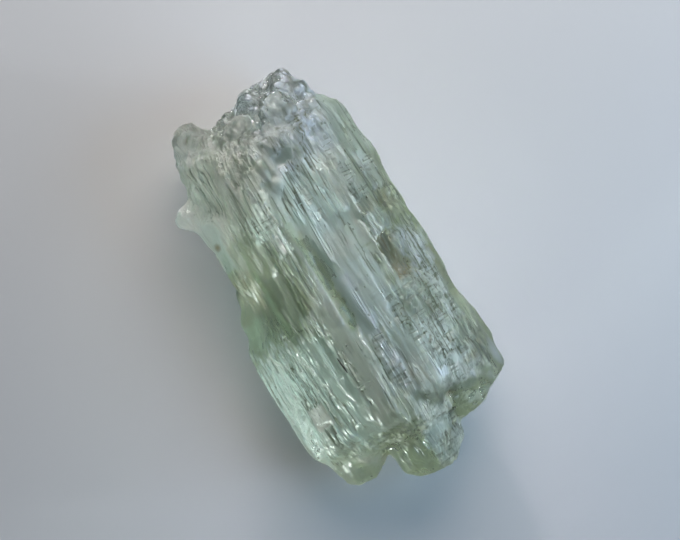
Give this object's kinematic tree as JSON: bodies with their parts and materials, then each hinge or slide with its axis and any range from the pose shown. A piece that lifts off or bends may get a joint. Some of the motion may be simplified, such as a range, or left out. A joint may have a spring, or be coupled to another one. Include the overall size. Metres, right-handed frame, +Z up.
{
  "type": "aquamarine crystal",
  "caption": "Etched pale green aquamarine crystal: a striated, see-through beryl prism with lobed ends, lying on a flat prism face as a mineral specimen or desk ornament.",
  "frame": {"origin": "middle of the flat face that the crystal rests on, under the middle of its box", "axes": "+X along the crystal's long axis, towards the end with the long tongue; +Z up, away from the resting face"},
  "size_m": [0.0306, 0.016, 0.011],
  "materials": {
    "aquamarine": "clear pale green beryl with etched, striated sides: glossy hollows, frosted patches, fine lines along the crystal, and faint brown iron stain in one recess"
  },
  "bodies": {
    "root": {"aquamarine_crystal": "aquamarine"}
  },
  "joints": []
}
